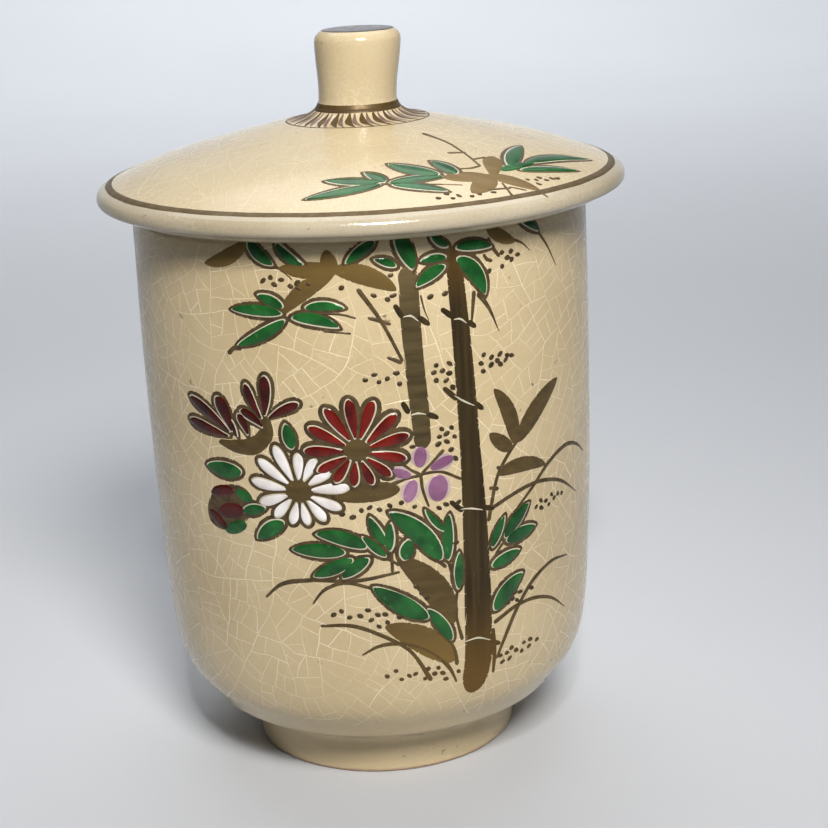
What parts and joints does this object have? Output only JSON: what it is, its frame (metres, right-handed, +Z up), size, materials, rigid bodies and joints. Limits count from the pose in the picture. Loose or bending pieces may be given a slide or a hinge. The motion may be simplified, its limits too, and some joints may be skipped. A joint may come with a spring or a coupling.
{
  "type": "lidded tea cup",
  "caption": "Tall upright ceramic tea cup on a turned foot, with a separate domed lid that overhangs the rim and lifts off by a central knob.",
  "frame": {"origin": "centre of the foot ring's resting face", "axes": "+Z up along the axis of the cup, lid and knob; -Y is the painted front"},
  "size_m": [0.0814, 0.0814, 0.114],
  "materials": {
    "cup_glaze": "glossy beige crackle glaze",
    "lid_glaze": "glossy cream crackle glaze",
    "knob_glaze": "glossy cream glaze with painted flutes",
    "gilding": "dark gold-brown raised lustre",
    "green_enamel": "glossy raised enamel",
    "red_enamel": "glossy enamel",
    "white_enamel": "glossy raised enamel",
    "violet_enamel": "glossy raised enamel"
  },
  "bodies": {
    "cup": {"cup": "cup_glaze"},
    "lid": {"lid": "lid_glaze", "knob": "knob_glaze"}
  },
  "joints": [
    {"name": "lid_lift", "type": "slide", "parent": "cup", "child": "lid", "axis": [0, 0, 1], "range_m": [0, 0.05]}
  ]
}
